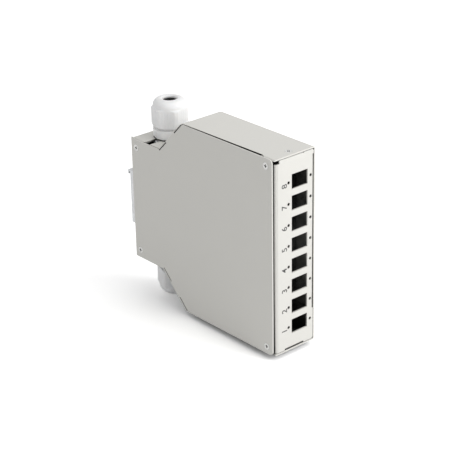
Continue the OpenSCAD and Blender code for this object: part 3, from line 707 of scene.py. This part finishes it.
def port_numbers():
    """The numbers 1 to 8, turned to read upwards, as one thin mesh on the plate."""
    texts = []
    turned = Matrix(((0, -1, 0), (0, 0, -1), (1, 0, 0))).to_4x4()
    for i in range(PORTS):
        curve = bpy.data.curves.new("number", "FONT")
        curve.body = str(i + 1)
        curve.align_x = "CENTER"
        curve.align_y = "CENTER"
        curve.size = NUMBER_H / NUMBER_SHARE
        curve.extrude = INK_T / 2
        curve.offset = NUMBER_BOLD
        text = bpy.data.objects.new("number", curve)
        bpy.context.scene.collection.objects.link(text)
        place = Vector((NUMBER_X, PLATE_LOW.y - INK_T / 2, LOW_PORT_Z + i * PORT_PITCH - NUMBER_DROP))
        text.matrix_world = Matrix.Translation(place) @ turned
        texts.append(text)
    bpy.context.view_layer.update()
    graph = bpy.context.evaluated_depsgraph_get()
    whole = bpy.data.objects.new("port_numbers", bpy.data.meshes.new("port_numbers"))
    parts = []
    for text in texts:
        mesh = bpy.data.meshes.new_from_object(text.evaluated_get(graph))
        mesh.transform(text.matrix_world)
        parts.append(mesh)
    join_meshes(whole, parts)
    for text in texts:
        bpy.data.objects.remove(text)
    return whole


def join_meshes(obj, meshes):
    """Puts several meshes into one object's mesh."""
    points, faces = [], []
    for mesh in meshes:
        start = len(points)
        points += [tuple(v.co) for v in mesh.vertices]
        faces += [tuple(start + i for i in p.vertices) for p in mesh.polygons]
        bpy.data.meshes.remove(mesh)
    obj.data.from_pydata(points, [], faces)
    obj.data.update()
    bpy.context.scene.collection.objects.link(obj)


def dressed(obj, finish, body):
    """A piece with its material and the body that it rides on."""
    obj.data.materials.append(finish)
    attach(obj, body)
    return obj


# The floor, in metres: half its side, and where it turns white away from the
# object. Its colours as they light the object, and as they are added for the
# camera and for reflections near the object and far from it
FLOOR_REACH = 6
FLOOR_WHITE_AT = (0.5, 1.5)
FLOOR_LIT = (0.78, 0.8)
FLOOR_NEAR = (0.8, 0.82)
FLOOR_FAR = 1.1
FLOOR_GRAIN = 3


def grey(value):
    """A grey colour."""
    return (value, value, value)


def floor():
    """A pale floor that takes the object's soft shadow and turns white away from it."""
    mesh = bpy.data.meshes.new("floor")
    far, low = FLOOR_REACH, FLOOR_Z
    corners = [(-far, -far, low), (far, -far, low), (far, far, low), (-far, far, low)]
    mesh.from_pydata(corners, [], [(0, 1, 2, 3)])
    plane = bpy.data.objects.new("floor", mesh)
    bpy.context.scene.collection.objects.link(plane)
    t = Tree("floor")
    grain = t.noise(FLOOR_GRAIN, detail=3)
    lit = t.add("ShaderNodeBsdfDiffuse", Color=t.blend(grain, *map(grey, FLOOR_LIT)))
    away = t.add("ShaderNodeVectorMath", {"operation": "LENGTH"}, Vector=t.where()).outputs["Value"]
    near = t.blend(grain, *map(grey, FLOOR_NEAR))
    added = t.blend(t.spread(away, 0, 1, *FLOOR_WHITE_AT), near, grey(FLOOR_FAR))
    white = t.add("ShaderNodeBsdfDiffuse", Color=added)
    both = t.add("ShaderNodeAddShader")
    t.put(both.inputs[0], lit.outputs[0])
    t.put(both.inputs[1], white.outputs[0])
    seen = t.add("ShaderNodeMixShader")
    rays = t.add("ShaderNodeLightPath")
    either = t.add("ShaderNodeMath", {"operation": "MAXIMUM"})
    t.put(either.inputs[0], rays.outputs["Is Camera Ray"])
    t.put(either.inputs[1], rays.outputs["Is Glossy Ray"])
    t.put(seen.inputs[0], either.outputs[0])
    t.put(seen.inputs[1], lit.outputs[0])
    t.put(seen.inputs[2], both.outputs[0])
    t.put(t.output.inputs["Surface"], seen.outputs[0])
    mesh.materials.append(t.material)


# The world's strength where it lights things; the camera and reflections see
# it at 1. Then the point that the lamps look at, and the lamps: name,
# direction, distance and side in metres, and power in watts
WORLD_LIGHT = 0.545
AIM = Vector((0, -75, 0)) * MM
LAMPS = [
    ("front_light", (0.45, -1, 0.55), 1.6, 1.3, 16.6),
    ("top_light", (0.1, -0.1, 1), 1.6, 1.4, 2.6),
    ("left_light", (-1, -0.5, 0.15), 1.6, 1.3, 1.2),
]


def world():
    """An even pale light all round, white to the camera and in reflections."""
    made = bpy.data.worlds.new("studio")
    made.use_nodes = True
    tree = made.node_tree
    tree.nodes.clear()
    rays = tree.nodes.new("ShaderNodeLightPath")
    seen = rays.outputs["Is Camera Ray"]
    for kind in ("Is Glossy Ray", "Is Transmission Ray"):
        either = tree.nodes.new("ShaderNodeMath")
        either.operation = "MAXIMUM"
        tree.links.new(seen, either.inputs[0])
        tree.links.new(rays.outputs[kind], either.inputs[1])
        seen = either.outputs[0]
    strength = tree.nodes.new("ShaderNodeMix")
    strength.inputs[2].default_value = WORLD_LIGHT
    strength.inputs[3].default_value = 1.0
    tree.links.new(seen, strength.inputs[0])
    back = tree.nodes.new("ShaderNodeBackground")
    back.inputs["Color"].default_value = (1, 1, 1, 1)
    tree.links.new(strength.outputs[0], back.inputs["Strength"])
    out = tree.nodes.new("ShaderNodeOutputWorld")
    tree.links.new(back.outputs[0], out.inputs["Surface"])
    bpy.context.scene.world = made


def soft_light(name, direction, distance, size, power):
    """A square soft box that looks at the object, and that the camera doesn't see."""
    data = bpy.data.lights.new(name, "AREA")
    data.shape = "SQUARE"
    data.size = size
    data.energy = power
    light = bpy.data.objects.new(name, data)
    away = Vector(direction).normalized()
    light.location = AIM + away * distance
    light.rotation_mode = "QUATERNION"
    light.rotation_quaternion = away.to_track_quat("Z", "Y")
    light.visible_camera = False
    bpy.context.scene.collection.objects.link(light)


def camera():
    """The camera at the photograph's place."""
    a, e, roll = (math.radians(v) for v in (CAMERA_AZIMUTH, CAMERA_ELEVATION, CAMERA_ROLL))
    ahead = -Vector((math.sin(a) * math.cos(e), -math.cos(a) * math.cos(e), math.sin(e)))
    level = ahead.cross(Vector((0, 0, 1))).normalized()
    below = ahead.cross(level)
    right = math.cos(roll) * level - math.sin(roll) * below
    down = math.sin(roll) * level + math.cos(roll) * below
    data = bpy.data.cameras.new("camera")
    data.lens = LENS
    data.sensor_width = SENSOR
    data.clip_start, data.clip_end = CLIP
    made = bpy.data.objects.new("camera", data)
    bpy.context.scene.collection.objects.link(made)
    turn = Matrix((right, -down, -ahead)).transposed().to_4x4()
    made.matrix_world = Matrix.Translation(CAMERA_PLACE) @ turn
    bpy.context.scene.camera = made


def put_in_place(obj, finish, slot, body, *nodes):
    """A detailed piece that stands for CAD nodes."""
    dressed(obj, FINISHES[finish], body)
    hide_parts(*nodes)
    return obj


dress_nodes()
put_in_place(folded_shell(), "housing_paint", "housing_paint", "housing", "housing_shell")
put_in_place(side_cover(), "cover_paint", "cover_paint", "housing", "side_cover")
put_in_place(front_plate(), "plate_paint", "plate_paint", "housing", "front_plate")
wound = put_in_place(spring(), "spring_steel", "spring_steel", "housing", "latch_spring")
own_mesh(wound)
for end, side in (("top", 1), ("bottom", -1)):
    nut = dome_nut(f"{end}_dome_nut", side)
    put_in_place(nut, "gland_plastic", "gland_plastic", f"{end}_nut", f"{end}_gland_nut")
dressed(port_numbers(), ink("number_ink", (0.05, 0.05, 0.05)), "housing")
floor()
world()
for lamp in LAMPS:
    soft_light(*lamp)
camera()
bpy.context.scene.view_settings.view_transform = "Standard"
